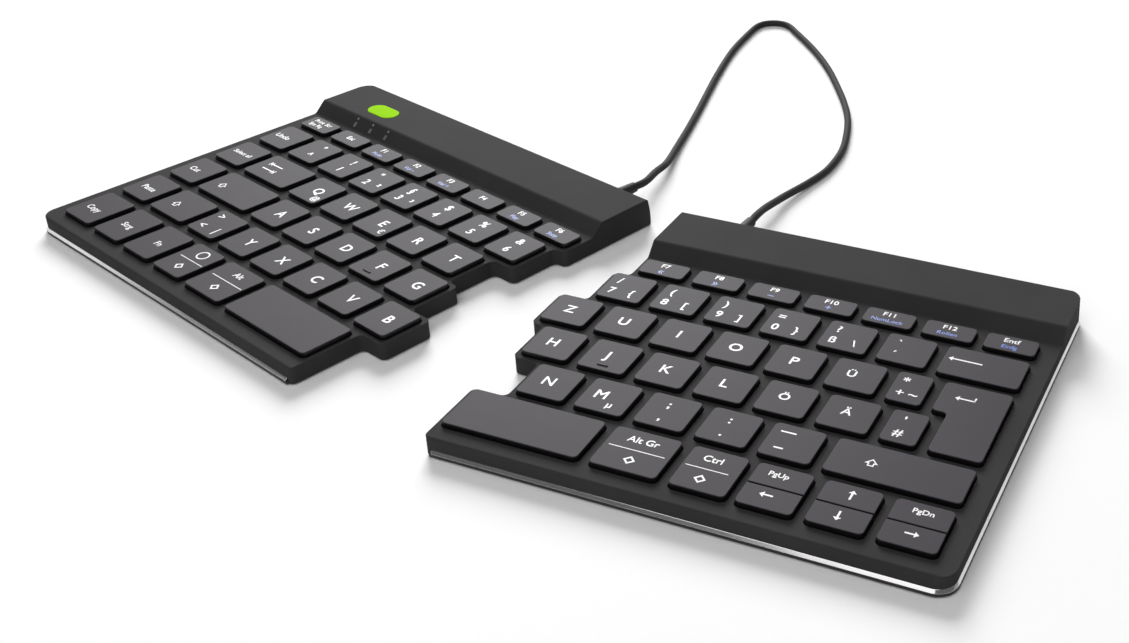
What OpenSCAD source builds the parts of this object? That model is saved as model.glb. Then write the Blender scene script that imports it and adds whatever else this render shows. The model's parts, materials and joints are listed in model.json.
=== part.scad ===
// Split keyboard: two stepped key blocks on low cases, joined by a short cord.
// Each half is drawn with its inner, stepped side towards +x, y towards the back, and y = 0 at the
// front of the front row's cells. The right half is then mirrored. Lengths are in millimetres.

/* [Keys] */
// Distance between neighbouring key centres
key_pitch = 19; // [18:0.25:20]
// Gap between neighbouring keycaps
key_gap = 3.6; // [3.2:0.1:4.4]
// Clearance between a keycap and its opening in the deck
key_clear = 0.4; // [0.3:0.05:0.6]
// How far a key can be pressed
key_travel = 1.4; // [0.8:0.1:1.5]
// Height of the keycap tops above the deck
cap_proud = 1.6; // [1.5:0.1:2.4]
// Thickness of a keycap's top and skirt
cap_wall = 1.1; // [0.8:0.1:1.3]
// Corner radius of a keycap
cap_r = 1.5; // [0.6:0.1:2]
// Depth of the front row's keycaps
front_cap_d = 18.1; // [16:0.1:20]
// Gap between the two keycaps of a stacked pair
pair_gap = 0.5; // [0.4:0.1:1]
// Distance between function key centres beyond the key pitch
function_extra = 0.55; // [0:0.05:0.8]
// Gap between neighbouring function keycaps
function_gap = 3.45; // [3:0.05:4.4]
// Depth of a function keycap
function_cap_d = 8.5; // [8:0.1:10]

/* [Case] */
// Margin from the keycaps to the case's front and outer sides
rim = 6.1; // [4.5:0.1:8]
// Height of the deck above the case's lower edge
deck_h = 5.9; // [5.6:0.1:8]
// Thickness of the deck and of the rear housing's shell
deck_t = 1.5; // [1:0.1:2]
// Height of the rear housing above the deck
housing_h = 4.45; // [4:0.05:8]
// Distance from the function keycaps to the foot of the housing's slope
slope_gap = 3.1; // [1.5:0.1:6]
// Depth of the housing's slope, seen from above
slope_d = 4.7; // [3.5:0.1:8]
// Depth of the housing's flat top
housing_top_d = 22.4; // [20:0.1:40]
// How far the rear wall's foot stands behind its top
rear_lean = 2.4; // [0:0.1:4]
// Radius of the front and rear outer corners
outer_r = 5.5; // [3:0.1:8]
// Radius of the corners of the stepped side
step_r = 2.1; // [0.5:0.1:2.2]
// Radius of the deck's front edge and of the housing's rear edge
edge_r = 1; // [0.4:0.1:1.4]
// Radius of the foot and the crest of the housing's slope
slope_r = 2; // [0.6:0.1:3]

/* [Base] */
// Thickness of the base plate
base_t = 0.9; // [0.8:0.1:1.4]
// Height of the bright trim strip above the base plate
trim_h = 1; // [0.6:0.1:1.4]
// Thickness of the trim strip
trim_t = 1.2; // [0.8:0.1:1.3]
// How far the trim's foot stands out from the case
trim_flare = 0.7; // [0.2:0.1:0.8]
// Height of the rubber feet below the base plate
foot_h = 0.5; // [0.4:0.1:1.2]
// Radius of a rubber foot
foot_r = 4; // [3:0.5:6]

/* [Mechanism] */
// Height of the base plate's posts under the support plate
post_h = 0.9; // [0.7:0.1:1.2]
// Thickness of the steel support plate
plate_t = 0.6; // [0.4:0.1:0.8]
// Thickness of the switch membrane
membrane_t = 0.4; // [0.2:0.1:0.5]
// Thickness of the rubber dome sheet
sheet_t = 0.3; // [0.2:0.1:0.4]
// Length of a scissor link
link_l = 11; // [9:0.5:12]
// Greatest width of a scissor link
link_w = 10.6; // [9:0.1:11]
// Width of a scissor link's bars
link_bar = 0.7; // [0.5:0.1:0.9]
// Thickness of a scissor link
link_t = 0.7; // [0.5:0.1:0.9]
// Radius of a rubber dome's top
dome_top_r = 1; // [0.6:0.1:1.2]

/* [Electronics] */
// Length of a circuit board
board_l = 55; // [40:1:60]
// Thickness of a circuit board
board_t = 1.2; // [0.8:0.1:1.6]
// Length of the battery
battery_l = 60; // [40:1:62]
// Depth of the battery
battery_d = 17; // [12:0.5:18]
// Height of the battery
battery_h = 5; // [3:0.1:6]
// Width of the charging socket
socket_w = 9; // [8.9:0.1:9.4]
// Height of the charging socket
socket_h = 3.2; // [3.1:0.05:3.3]
// Travel of the power switch
switch_travel = 3; // [2:0.5:4]
// Length of the indicator lens
lens_l = 15; // [10:0.5:18]
// Width of the indicator lens
lens_w = 8; // [5:0.5:10]
// Width of a status light pipe
pipe_w = 1.3; // [0.8:0.1:2]
// Length of a status light pipe along the slope
pipe_l = 2; // [1.4:0.1:2.6]

/* [Cord] */
// Diameter of the cord
cord_d = 2.8; // [2.4:0.1:3.4]
// Height of the cord's exits above the case's lower edge
exit_h = 5.6; // [4.8:0.1:5.7]
// Distance of the cord from the left housing's inner end
cord_inset_left = 17.3; // [12:0.1:30]
// Distance of the cord from the right housing's inner end
cord_inset_right = 21.4; // [12:0.1:30]
// Length of a strain relief outside the rear wall
relief_l = 8; // [5:0.5:10]
// Radius of a strain relief at the rear wall
relief_r = 2.5; // [2.2:0.1:2.7]

/* [Layout] */
// Angle of each half to the middle line
half_angle = 8.85; // [0:0.05:15]
// Gap between the rear inner corners of the two halves
rear_gap = 15; // [6:0.5:60]
// How far the left half stands behind the right half
rear_stagger = 1; // [-10:0.5:10]

/* [Hidden] */
LEFT = 0;
RIGHT = 1;
HALVES = [LEFT, RIGHT];
fit = 0.2;            // clearance of parts that are laid or pushed into place
seat_gap = 0.25;      // clearance above and below the scissor links and the domes
press_room = 0.4;     // room under a keycap's skirt when it is fully pressed
arc_steps = 4;        // straight steps in a rounded corner of a keycap or of the stepped side
outer_steps = 12;     // straight steps in an outer corner of the case
cut = 1;              // how far a cutting shape runs past what it cuts
cord_sides = 8;       // flat sides of the cord's tube
cord_steps = 2;       // rings of the tube between two points of its route
relief_skin = 0.5;    // thickness of a strain relief's sleeve at its tip
cord_r = cord_d / 2;

// Key rows from the front to the function row: the node of each keycap and its cell's width in pitches
macro_col = -1;
home_row = 2;
top_row = 3;
function_row = 5;
left_rows = [
    [["macro_keys", 1.06], ["modifier_keys_left", 1.01], ["modifier_keys_left", 1.01],
     ["modifier_keys_left", 1.01], ["modifier_keys_left", 1.22], ["key_space_left", 2.44]],
    [["macro_keys", 1], ["modifier_keys_left", 1.28], ["modifier_keys_left", 1],
     ["key_y", 1], ["key_x", 1], ["key_c", 1], ["key_v", 1], ["key_b", 1]],
    [["macro_keys", 1], ["modifier_keys_left", 1.76],
     ["key_a", 1], ["key_s", 1], ["key_d", 1], ["key_f", 1], ["key_g", 1]],
    [["macro_keys", 1], ["modifier_keys_left", 1.5],
     ["key_q", 1], ["key_w", 1], ["key_e", 1], ["key_r", 1], ["key_t", 1]],
    [["macro_keys", 1], for (i = [1 : 7]) ["number_keys_left", 1]]
];
right_rows = [
    [["key_space_right", 2.47], ["modifier_keys_right", 1.255], ["modifier_keys_right", 1.06]],
    [["key_n", 1], ["key_m", 1], for (i = [1 : 3]) ["punctuation_keys", 1], ["modifier_keys_right", 2.25]],
    [["key_h", 1], ["key_j", 1], ["key_k", 1], ["key_l", 1],
     ["punctuation_keys", 1], ["punctuation_keys", 1], ["punctuation_keys", 0.75]],
    [["key_z", 1], ["key_u", 1], ["key_i", 1], ["key_o", 1], ["key_p", 1],
     ["punctuation_keys", 1], ["punctuation_keys", 0.75]],
    [for (i = [1 : 6]) ["number_keys_right", 1], ["key_backspace", 1.5]]
];
left_starts = [macro_col, macro_col, macro_col, macro_col, macro_col];
right_starts = [-0.335, 0.25, -0.25, -0.5, 0];
right_cells = 7.5;    // right edge of the right half's cells, in pitches
enter_top_cell = 6.25; // left edges of the enter key's upper and lower cells, in pitches
enter_low_cell = 6.5;
function_count = [8, 7];
pair_count = 3;       // stacked pairs, under the last function keys of the right half
pair_r = 0.2;         // corner radius of a pair's keycaps where they meet

// Heights above the surface
case_z = foot_h;
base_top = case_z + base_t;
trim_top = base_top + trim_h;
deck_z = case_z + deck_h;
deck_under = deck_z - deck_t;
top_z = deck_z + housing_h;
top_under = top_z - deck_t;
cap_top = deck_z + cap_proud;
cap_under = cap_top - cap_wall;
plate_z = base_top + post_h;
membrane_z = plate_z + plate_t;
sheet_z = membrane_z + membrane_t;
sheet_top = sheet_z + sheet_t;
cap_low = sheet_top + key_travel + press_room;
exit_z = case_z + exit_h;

// Places from the front to the back
wall = key_gap / 2 - key_clear;
front_cap_y = key_pitch - key_gap / 2 - front_cap_d;
front_y = front_cap_y - rim;
function_y = function_row * key_pitch + key_gap / 2;
slope_y = function_y + function_cap_d + slope_gap;
crest_y = slope_y + slope_d;
rear_top_y = crest_y + housing_top_d;
rear_y = rear_top_y + rear_lean;
slope_a = atan2(housing_h, slope_d);
shell_shift = deck_t * tan(slope_a / 2);

function_pitch = key_pitch + function_extra;
function_cap_w = function_pitch - function_gap;

// Keycaps: node, row and box of each, as [node, row, x, y, width, depth]. A keycap of a stacked pair also
// has the side that faces the other: 1 at its back, -1 at its front
function side(h) = h == LEFT ? 1 : -1;
function cell_start(cells, i) = i == 0 ? 0 : cell_start(cells, i - 1) + cells[i - 1][1];
function cap_y(row) = row == 0 ? front_cap_y : row * key_pitch + key_gap / 2;
function cap_d(row) = row == 0 ? front_cap_d : key_pitch - key_gap;
function facing(h, x, w) = h == LEFT ? x : -x - w;
function row_caps(h, row, start, cells) = [
    for (i = [0 : len(cells) - 1])
        let (x = (start + cell_start(cells, i)) * key_pitch + key_gap / 2,
             w = cells[i][1] * key_pitch - key_gap)
            [cells[i][0], row, facing(h, x, w), cap_y(row), w, cap_d(row)]
];
function function_x(h, i) = h == LEFT
    ? macro_col * key_pitch + key_gap / 2 + i * function_pitch
    : right_cells * key_pitch - key_gap / 2 - function_cap_w - (function_count[h] - 1 - i) * function_pitch;
function function_caps(h) = [
    for (i = [0 : function_count[h] - 1])
        [["function_keys_left", "function_keys_right"][h], function_row,
         facing(h, function_x(h, i), function_cap_w), function_y, function_cap_w, function_cap_d]
];
pair_cap_d = (front_cap_d - pair_gap) / 2;
function pair_x(i) =
    facing(RIGHT, function_x(RIGHT, function_count[RIGHT] - pair_count + i), function_cap_w);
function pair_caps() = [
    for (i = [0 : pair_count - 1], upper = [0, 1])
        ["arrow_keys", 0, pair_x(i), front_cap_y + upper * (pair_cap_d + pair_gap),
         function_cap_w, pair_cap_d, 1 - 2 * upper]
];
left_caps = concat(
    [for (row = [0 : len(left_rows) - 1]) each row_caps(LEFT, row, left_starts[row], left_rows[row])],
    function_caps(LEFT));
right_caps = concat(
    [for (row = [0 : len(right_rows) - 1]) each row_caps(RIGHT, row, right_starts[row], right_rows[row])],
    function_caps(RIGHT), pair_caps());
caps = [left_caps, right_caps];
enter_right = right_cells * key_pitch - key_gap / 2;
enter_corner = [enter_low_cell * key_pitch + key_gap / 2, cap_y(home_row)];
enter_centre = [-(enter_corner.x + enter_right) / 2, (cap_y(home_row) + cap_y(top_row) + cap_d(top_row)) / 2];

// Rounded outlines: each point is [x, y, radius]
function unit(v) = v / norm(v);
function flat(p) = [p.x, p.y];
function turn(from, to) = let (d = to - from) d > 180 ? d - 360 : d < -180 ? d + 360 : d;
function rounded_corner(before, at, after, steps) =
    at[2] <= 0 ? [flat(at)] :
    let (u = unit(flat(before) - flat(at)), v = unit(flat(after) - flat(at)), half = acos(u * v) / 2,
         centre = flat(at) + unit(u + v) * at[2] / sin(half),
         first = flat(at) + u * at[2] / tan(half) - centre, last = flat(at) + v * at[2] / tan(half) - centre,
         start = atan2(first.y, first.x), sweep = turn(start, atan2(last.y, last.x)))
    [for (i = [0 : steps]) centre + at[2] * [cos(start + sweep * i / steps), sin(start + sweep * i / steps)]];
function rounded(points) = let (n = len(points)) [
    for (i = [0 : n - 1])
        each rounded_corner(points[(i + n - 1) % n], points[i], points[(i + 1) % n],
                            points[i][2] > 2 * step_r ? outer_steps : arc_steps)
];
function box_points(x, y, w, d, front_r, back_r) =
    rounded([[x, y, front_r], [x + w, y, front_r], [x + w, y + d, back_r], [x, y + d, back_r]]);
function cap_points(c, grow) = box_points(
    c[2] - grow, c[3] - grow, c[4] + 2 * grow, c[5] + 2 * grow,
    (c[6] == -1 ? pair_r : cap_r) + grow, (c[6] == 1 ? pair_r : cap_r) + grow);

// Outline of a half: the stepped side and the rear come in by "inner", the front and outer side by "outer".
// The rear outer corner can have another radius than the front one
function inner_x(h, row) = max([for (c = caps[h]) if (c[1] == row) c[2] + c[4]]) + key_gap / 2;
function outer_x(h) = min([for (c = caps[h]) c[2]]) - rim;
function widest_x(h) = max([for (row = [0 : function_row]) inner_x(h, row)]);
// Radius of a corner of the stepped side when the outline comes in, for a step of some width
function fillet(convex, inset, step) = let (r = min(step_r, step / 2), least = max(r - inset, 0))
    convex ? least : min(r + inset, step - least);
function step_points(h, row, inner) =
    let (here = inner_x(h, row), next = inner_x(h, row + 1), wider = next > here,
         y = (row + 1) * key_pitch + (wider ? inner : -inner))
    here == next ? [] :
    [[here - inner, y, fillet(!wider, inner, abs(next - here))],
     [next - inner, y, fillet(wider, inner, abs(next - here))]];
function outline(h, inner, outer, rear_r = outer_r) = rounded(concat(
    [[outer_x(h) + outer, front_y + outer, max(outer_r - outer, 0)],
     [inner_x(h, 0) - inner, front_y + outer, fillet(true, inner, 2 * step_r)]],
    [for (row = [0 : function_row - 1]) each step_points(h, row, inner)],
    [[inner_x(h, function_row) - inner, rear_y - inner, fillet(true, inner, 2 * step_r)],
     [outer_x(h) + outer, rear_y - inner, max(rear_r - outer, 0)]]));

// Places of the two halves, so that the middle of the whole outline is at the origin
function yaw(h) = -side(h) * half_angle;
function spin(p, a) = [p.x * cos(a) - p.y * sin(a), p.x * sin(a) + p.y * cos(a)];
function inner_corner(h) = [side(h) * inner_x(h, function_row), rear_y];
function free_place(h) = side(h) * [-rear_gap / 2, rear_stagger / 2] - spin(inner_corner(h), yaw(h));
plan = [for (h = HALVES) for (p = outline(h, 0, -trim_flare))
    free_place(h) + spin([side(h) * p.x, p.y], yaw(h))];
middle = [max([for (p = plan) p.x]) + min([for (p = plan) p.x]),
          max([for (p = plan) p.y]) + min([for (p = plan) p.y])] / 2;
function place(h) = free_place(h) - middle;
function in_row(h, p) = place(h) + spin([side(h) * p.x, p.y], yaw(h));

module on_half(h) {
    translate(concat(place(h), 0)) rotate(yaw(h)) mirror([h, 0, 0]) children();
}

// A profile in y and z, run along x from one place to another
module along_x(from, to) {
    translate([from, 0, 0]) rotate([90, 0, 90]) linear_extrude(to - from) children();
}

// A profile in x and z, run along y from one place to another
module along_y(from, to) {
    translate([0, to, 0]) rotate([90, 0, 0]) linear_extrude(to - from) children();
}

module slab(z, top) {
    translate([0, 0, z]) linear_extrude(top - z) children();
}

// Screws: three along the front rim and three in the rear housing
boss_r = 1.4;
bore_r = 0.75;
screw_r = 0.7;
head_r = 1.4;
head_h = 0.5;
screw_l = 2.8;        // length of the shank in its boss
bore_l = 3.4;
corner_gap = 7;       // distance of the end screws from the ends of a half
function middle_x(h) = (outer_x(h) + inner_x(h, function_row)) / 2;
function front_screws(h) = [
    for (x = [outer_x(h) + 2 * corner_gap, middle_x(h), inner_x(h, 0) - corner_gap])
        [x, front_y + wall + boss_r + fit / 2]
];
rear_screw_y = rear_top_y - wall - 2 * boss_r;
function rear_screws(h) = [
    for (x = [outer_x(h) + corner_gap, middle_x(h), inner_x(h, function_row) - corner_gap]) [x, rear_screw_y]
];
function all_screws(h) = concat(front_screws(h), rear_screws(h));

// Parts in the rear housing, measured from its inner end
board_gap = 11;
board_post_h = 2;
board_z = base_top + board_post_h;
board_front = slope_y + fit;
board_rear_gap = 2;
board_rear = rear_top_y - wall - board_rear_gap;
function board_x(h) = inner_x(h, function_row) - board_gap - board_l;
socket_wall = 0.4;
socket_d = 7.5;
socket_back = 1;
tongue_w = 6.6;
tongue_t = 0.7;
socket_inset = 52;
socket_x = inner_x(RIGHT, function_row) - socket_inset;
socket_z = board_z + board_t + socket_h / 2;
switch_inset = 34;
switch_x = inner_x(RIGHT, function_row) - switch_inset;
switch_z = socket_z;
knob_w = 3;
knob_h = 1.8;
knob_out = 1.2;
flange_t = 0.8;
flange_lip = 1;
slide_clear = 0.3;
lens_x = 4.6;
lens_back = 8.3;      // distance of the lens's middle behind the housing's crest
lens_at = [lens_x, crest_y + lens_back];
lens_proud = 0.2;
lens_lip = 1;
lens_lip_t = 0.8;
pipe_first = 0.8;
pipe_step = 9.5;
pipe_count = 3;
pipe_depth = 2.4;
pipe_drop = 0.8;      // how far the pipes stand below the middle of the slope
function rear_face(z) = rear_y - rear_lean * (z - case_z) / (top_z - case_z);
function inner_face(z) = rear_y - wall - rear_lean * (z - base_top) / (top_under - base_top);
function cord_x(h) = inner_x(h, function_row) - (h == LEFT ? cord_inset_left : cord_inset_right);

// Round posts or bores of one radius, between two heights
module posts(places, r, z, top) {
    for (p = places) translate([p.x, p.y, z]) cylinder(r = r, h = top - z, $fn = 32);
}

// What is cut off the rear outer corner to round it, along the lean of the rear wall from a foot to a top
module rear_corner(h, inset, foot, top) {
    r = outer_r - inset;
    arc = [for (i = [0 : outer_steps]) let (a = 180 - 90 * i / outer_steps) [r + r * cos(a), r * sin(a) - r]];
    past = cut * tan(45 / outer_steps);
    translate([outer_x(h) + inset, foot.x, foot.y]) rotate([atan2(foot.x - top.x, top.y - foot.y), 0, 0])
        translate([0, 0, -2 * cut]) linear_extrude(top.y - foot.y + 4 * cut)
            polygon(concat([[-cut, -r - cut], [-past, -r - cut]], arc,
                           [[r + cut, past], [r + cut, cut], [-cut, cut]]));
}

module case_body(h) {
    difference() {
        case_block(h);
        rear_corner(h, 0, [rear_y, case_z], [rear_top_y, top_z]);
    }
}

module case_block(h) {
    intersection() {
        slab(case_z, top_z) polygon(outline(h, 0, 0, 0));
        along_x(outer_x(h) - cut, widest_x(h) + cut)
            polygon(rounded([[front_y, case_z, 0], [front_y, deck_z, edge_r], [slope_y, deck_z, slope_r],
                             [crest_y, top_z, slope_r], [rear_top_y, top_z, edge_r], [rear_y, case_z, 0]]));
    }
}

module case_cavity(h) {
    difference() {
        intersection() {
            slab(case_z - cut, top_under) polygon(outline(h, wall, wall, 0));
            along_x(outer_x(h), widest_x(h))
                polygon([[front_y, case_z - cut], [front_y, deck_under], [slope_y + shell_shift, deck_under],
                         [crest_y + shell_shift, top_under], [inner_face(top_under), top_under],
                         [inner_face(base_top), base_top], [inner_face(base_top), case_z - cut]]);
        }
        rear_corner(h, wall, [inner_face(base_top), base_top], [inner_face(top_under), top_under]);
    }
}

// Room for the trim strip and the base plate's edge along the front and the outer side
module trim_seat(h) {
    slab(case_z - cut, trim_top) {
        translate([outer_x(h) - cut, front_y - cut])
            square([inner_x(h, 0) - step_r - outer_x(h) + cut, cut + wall]);
        translate([outer_x(h) - cut, front_y - cut])
            square([cut + wall, rear_y - outer_r - front_y + cut]);
        translate([outer_x(h) - cut, front_y - cut]) square(cut + outer_r);
    }
}

module enter_plan(grow) {
    left = enter_top_cell * key_pitch + key_gap / 2 - grow;
    low_left = enter_corner.x - grow;
    right = enter_right + grow;
    low = cap_y(home_row) - grow;
    step = cap_y(top_row) - grow;
    high = cap_y(top_row) + cap_d(top_row) + grow;
    r = cap_r + grow;
    polygon(rounded([[-right, low, r], [-low_left, low, r], [-low_left, step, max(cap_r - grow, 0)],
                     [-left, step, r], [-left, high, r], [-right, high, r]]));
}

module key_openings(h) {
    slab(deck_under - cut, deck_z + cut) {
        for (c = caps[h]) polygon(cap_points(c, key_clear));
        if (h == RIGHT) {
            enter_plan(key_clear);
            for (i = [0 : pair_count - 1])
                translate([pair_x(i), front_cap_y + cap_r]) square([function_cap_w, front_cap_d - 2 * cap_r]);
        }
    }
}

module lens_plan(grow) {
    for (x = [-1, 1]) translate([x * (lens_l - lens_w) / 2, 0]) circle(r = lens_w / 2 + grow, $fn = 48);
    square([lens_l - lens_w, lens_w + 2 * grow], center = true);
}

module pipe(grow) {
    for (i = [0 : pipe_count - 1])
        translate([pipe_first + i * pipe_step, slope_y + slope_d / 2, deck_z + housing_h / 2])
            rotate([slope_a, 0, 0])
                translate([-pipe_w / 2 - grow, -pipe_l / 2 - pipe_drop - grow, -pipe_depth - grow])
                    cube([pipe_w + 2 * grow, pipe_l + 2 * grow, pipe_depth + (grow > 0 ? cut : 0) + grow]);
}

module rear_cuts(h) {
    translate([cord_x(h), rear_top_y - wall - cut, exit_z]) rotate([-90, 0, 0])
        cylinder(r = relief_r, h = rear_lean + wall + 2 * cut, $fn = 48);
    if (h == LEFT) {
        translate(concat(lens_at, 0)) slab(top_under - cut, top_z + cut) lens_plan(fit / 2);
        pipe(fit / 4);
    }
    if (h == RIGHT) {
        translate([socket_x - fit, rear_top_y - wall - cut, socket_z - socket_h / 2 - fit])
            cube([socket_w + 2 * fit, rear_lean + wall + 2 * cut, socket_h + 2 * fit]);
        translate([switch_x - slide_clear, rear_top_y - wall - cut, switch_z - knob_h / 2 - slide_clear])
            cube([knob_w + switch_travel + 2 * slide_clear, rear_lean + wall + 2 * cut,
                  knob_h + 2 * slide_clear]);
    }
}

module top_case(h) {
    color("#3c3b3c") on_half(h) difference() {
        union() {
            difference() {
                case_body(h);
                case_cavity(h);
                key_openings(h);
                trim_seat(h);
            }
            posts(front_screws(h), boss_r, base_top, deck_under + fit);
            posts(rear_screws(h), boss_r, base_top, top_under + fit);
        }
        posts(all_screws(h), bore_r, base_top - cut, base_top + bore_l);
        rear_cuts(h);
    }
}

// Support posts of the base plate: under the support plate, and under the circuit board
post_r = 2;
post_inset = 7 * post_r;
function plate_posts(h) = [
    for (x = [outer_x(h) + post_inset, middle_x(h), inner_x(h, 0) - post_inset],
         row = [0.5, home_row + 0.5, function_row - 0.5]) [x, row * key_pitch]
];
board_mid = (board_front + board_rear) / 2;
function board_posts(h) = [
    for (x = [board_x(h) + 2 * post_r, board_x(h) + board_l - 2 * post_r]) [x, board_mid]
];

// Inside the case walls, and out under the trim strip along the front and the outer side
module base_plan(h) {
    polygon(outline(h, wall + fit, wall + fit));
    intersection() {
        polygon(outline(h, wall + fit, -trim_flare));
        translate([outer_x(h) - cut, front_y - cut])
            square([inner_x(h, 0) - wall - fit - outer_x(h) + cut, rear_y - outer_r - fit - front_y + cut]);
    }
}

module base_plate(h) {
    color("#262628") on_half(h) difference() {
        union() {
            slab(case_z, base_top) base_plan(h);
            posts(plate_posts(h), post_r, base_top - fit, plate_z);
            posts(board_posts(h), post_r, base_top - fit, board_z);
        }
        posts(all_screws(h), screw_r + fit, case_z - cut, base_top + cut);
        posts(all_screws(h), head_r + fit, case_z - cut, case_z + head_h);
    }
}

// Bright strip between the base plate and the case, along the front and the outer side
module base_trim(h) {
    corner = [outer_x(h) + outer_r, front_y + outer_r];
    strip = [[-trim_flare, base_top], [0, trim_top], [trim_t, trim_top], [trim_t, base_top]];
    color("#d8d8dc") on_half(h) {
        along_x(corner.x, inner_x(h, 0) - step_r - fit) polygon([for (p = strip) [front_y + p.x, p.y]]);
        along_y(corner.y, rear_y - outer_r - fit) polygon([for (p = strip) [outer_x(h) + p.x, p.y]]);
        translate(concat(corner, 0)) rotate(180)
            rotate_extrude(angle = 90, $fn = 96) polygon([for (p = strip) [outer_r - p.x, p.y]]);
    }
}

// Area of the key mechanism: inside the walls and the screw bosses, up to the housing's slope
module mechanism_plan(h, inset) {
    intersection() {
        polygon(outline(h, wall + fit + inset, rim - fit + inset));
        translate([outer_x(h), front_y]) square([widest_x(h) - outer_x(h), slope_y - front_y - inset]);
    }
}

module support_plates() {
    color("#9a9ca0") for (h = HALVES) on_half(h) slab(plate_z, membrane_z) mechanism_plan(h, 0);
}

module membranes() {
    color("#c9d6cf") for (h = HALVES) on_half(h) slab(membrane_z, sheet_z) mechanism_plan(h, fit);
}

// Key centres with the size of each cap: [x, y, width, depth]
function key_sites(h) = concat(
    [for (c = caps[h]) [c[2] + c[4] / 2, c[3] + c[5] / 2, c[4], c[5]]],
    h == RIGHT ? [[enter_centre.x, enter_centre.y, enter_right - enter_corner.x, key_pitch]] : []);
function link_width(site) = min(link_w, min(site[2], site[3]) - 2 * cap_wall - 2 * seat_gap);
function inner_link(site) = link_width(site) - 2 * link_bar - 2 * fit;
link_room = cap_under - sheet_top - 2 * seat_gap;
link_tilt = asin((link_room - link_t) / link_l);

module dome_sheets() {
    color("#e4e1da") for (h = HALVES) on_half(h) union() {
        slab(sheet_z, sheet_top) mechanism_plan(h, fit);
        for (s = key_sites(h))
            translate([s.x, s.y, sheet_top - fit])
                cylinder(r1 = inner_link(s) / 2 - link_bar - fit, r2 = dome_top_r,
                         h = cap_under - seat_gap - sheet_top + fit, $fn = 32);
    }
}

module scissor_link(w) {
    difference() {
        cube([w, link_l, link_t], center = true);
        cube([w - 2 * link_bar, link_l - 2 * link_bar, link_t + cut], center = true);
    }
}

module scissor_links() {
    color("#e9e9e6") for (h = HALVES) on_half(h)
        for (s = key_sites(h))
            translate([s.x, s.y, sheet_top + seat_gap + link_room / 2]) rotate(s[2] > s[3] ? 90 : 0) {
                rotate([link_tilt, 0, 0]) scissor_link(link_width(s));
                rotate([-link_tilt, 0, 0]) scissor_link(inner_link(s));
            }
}

module keycap(c) {
    difference() {
        slab(cap_low, cap_top) polygon(cap_points(c, 0));
        slab(cap_low - cut, cap_under) translate([c[2] + cap_wall, c[3] + cap_wall])
            square([c[4] - 2 * cap_wall, c[5] - 2 * cap_wall]);
    }
}

// All keycaps of one node
module keycaps(name) {
    color("#575559") for (h = HALVES) on_half(h)
        for (c = caps[h]) if (c[0] == name) keycap(c);
}

module key_enter() {
    color("#575559") on_half(RIGHT) difference() {
        slab(cap_low, cap_top) enter_plan(0);
        slab(cap_low - cut, cap_under) enter_plan(-cap_wall);
    }
}

chip_w = 7;
chip_h = 1;
module circuit_board(h) {
    color("#2f6b4a") on_half(h) {
        translate([board_x(h), board_front, board_z]) cube([board_l, board_rear - board_front, board_t]);
        translate([board_x(h) + board_l / 2, board_mid, 0])
            slab(board_z + board_t - fit, board_z + board_t + chip_h) square(chip_w, center = true);
    }
}

module battery() {
    color("#b9bcc2") on_half(LEFT)
        translate([outer_x(LEFT) + 2 * corner_gap, board_rear - battery_d, base_top])
            cube([battery_l, battery_d, battery_h]);
}

module charging_socket() {
    mouth = rear_face(socket_z + socket_h / 2) - fit;
    color("#b4b6ba") on_half(RIGHT)
        translate([socket_x, mouth - socket_d, socket_z - socket_h / 2]) {
            difference() {
                cube([socket_w, socket_d, socket_h]);
                translate([socket_wall, socket_back, socket_wall])
                    cube([socket_w - 2 * socket_wall, socket_d, socket_h - 2 * socket_wall]);
            }
            translate([(socket_w - tongue_w) / 2, socket_back - fit, (socket_h - tongue_t) / 2])
                cube([tongue_w, socket_d - 2 * socket_back, tongue_t]);
        }
}

module power_switch() {
    back = inner_face(switch_z + knob_h / 2 + flange_lip) - slide_clear;
    color("#1d1d1f") on_half(RIGHT)
        translate([switch_x, back, switch_z - knob_h / 2]) {
            translate([0, -fit, 0]) cube([knob_w, rear_face(switch_z) + knob_out - back + fit, knob_h]);
            translate([-flange_lip, -flange_t, -flange_lip])
                cube([knob_w + 2 * flange_lip, flange_t, knob_h + 2 * flange_lip]);
        }
}

module indicator_lens() {
    color("#9be11c") on_half(LEFT) translate(concat(lens_at, 0)) {
        slab(top_under - fit, top_z + lens_proud) lens_plan(0);
        slab(top_under - lens_lip_t, top_under) lens_plan(lens_lip);
    }
}

module status_light_pipes() {
    color("#8d8d90") on_half(LEFT) pipe(0);
}

// Feet near the corners of each half, clear of the screws
front_foot_y = front_y + rim + foot_r + fit;
rear_foot_y = rear_screw_y - 2 * boss_r - 2 * foot_r;
function foot_places(h) = [
    [outer_x(h) + 2 * foot_r, front_foot_y], [inner_x(h, 0) - 2 * foot_r, front_foot_y],
    [outer_x(h) + 2 * foot_r, rear_foot_y], [inner_x(h, function_row) - 2 * foot_r, rear_foot_y]];

module feet() {
    color("#161617") for (h = HALVES) on_half(h)
        for (p = foot_places(h)) translate([p.x, p.y, 0]) cylinder(r = foot_r, h = foot_h, $fn = 64);
}

module screws() {
    color("#8b8c90") for (h = HALVES) on_half(h)
        union() {
            posts(all_screws(h), head_r, case_z + fit / 2, case_z + head_h);
            posts(all_screws(h), screw_r, case_z + head_h - fit, base_top + screw_l);
        }
}

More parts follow.
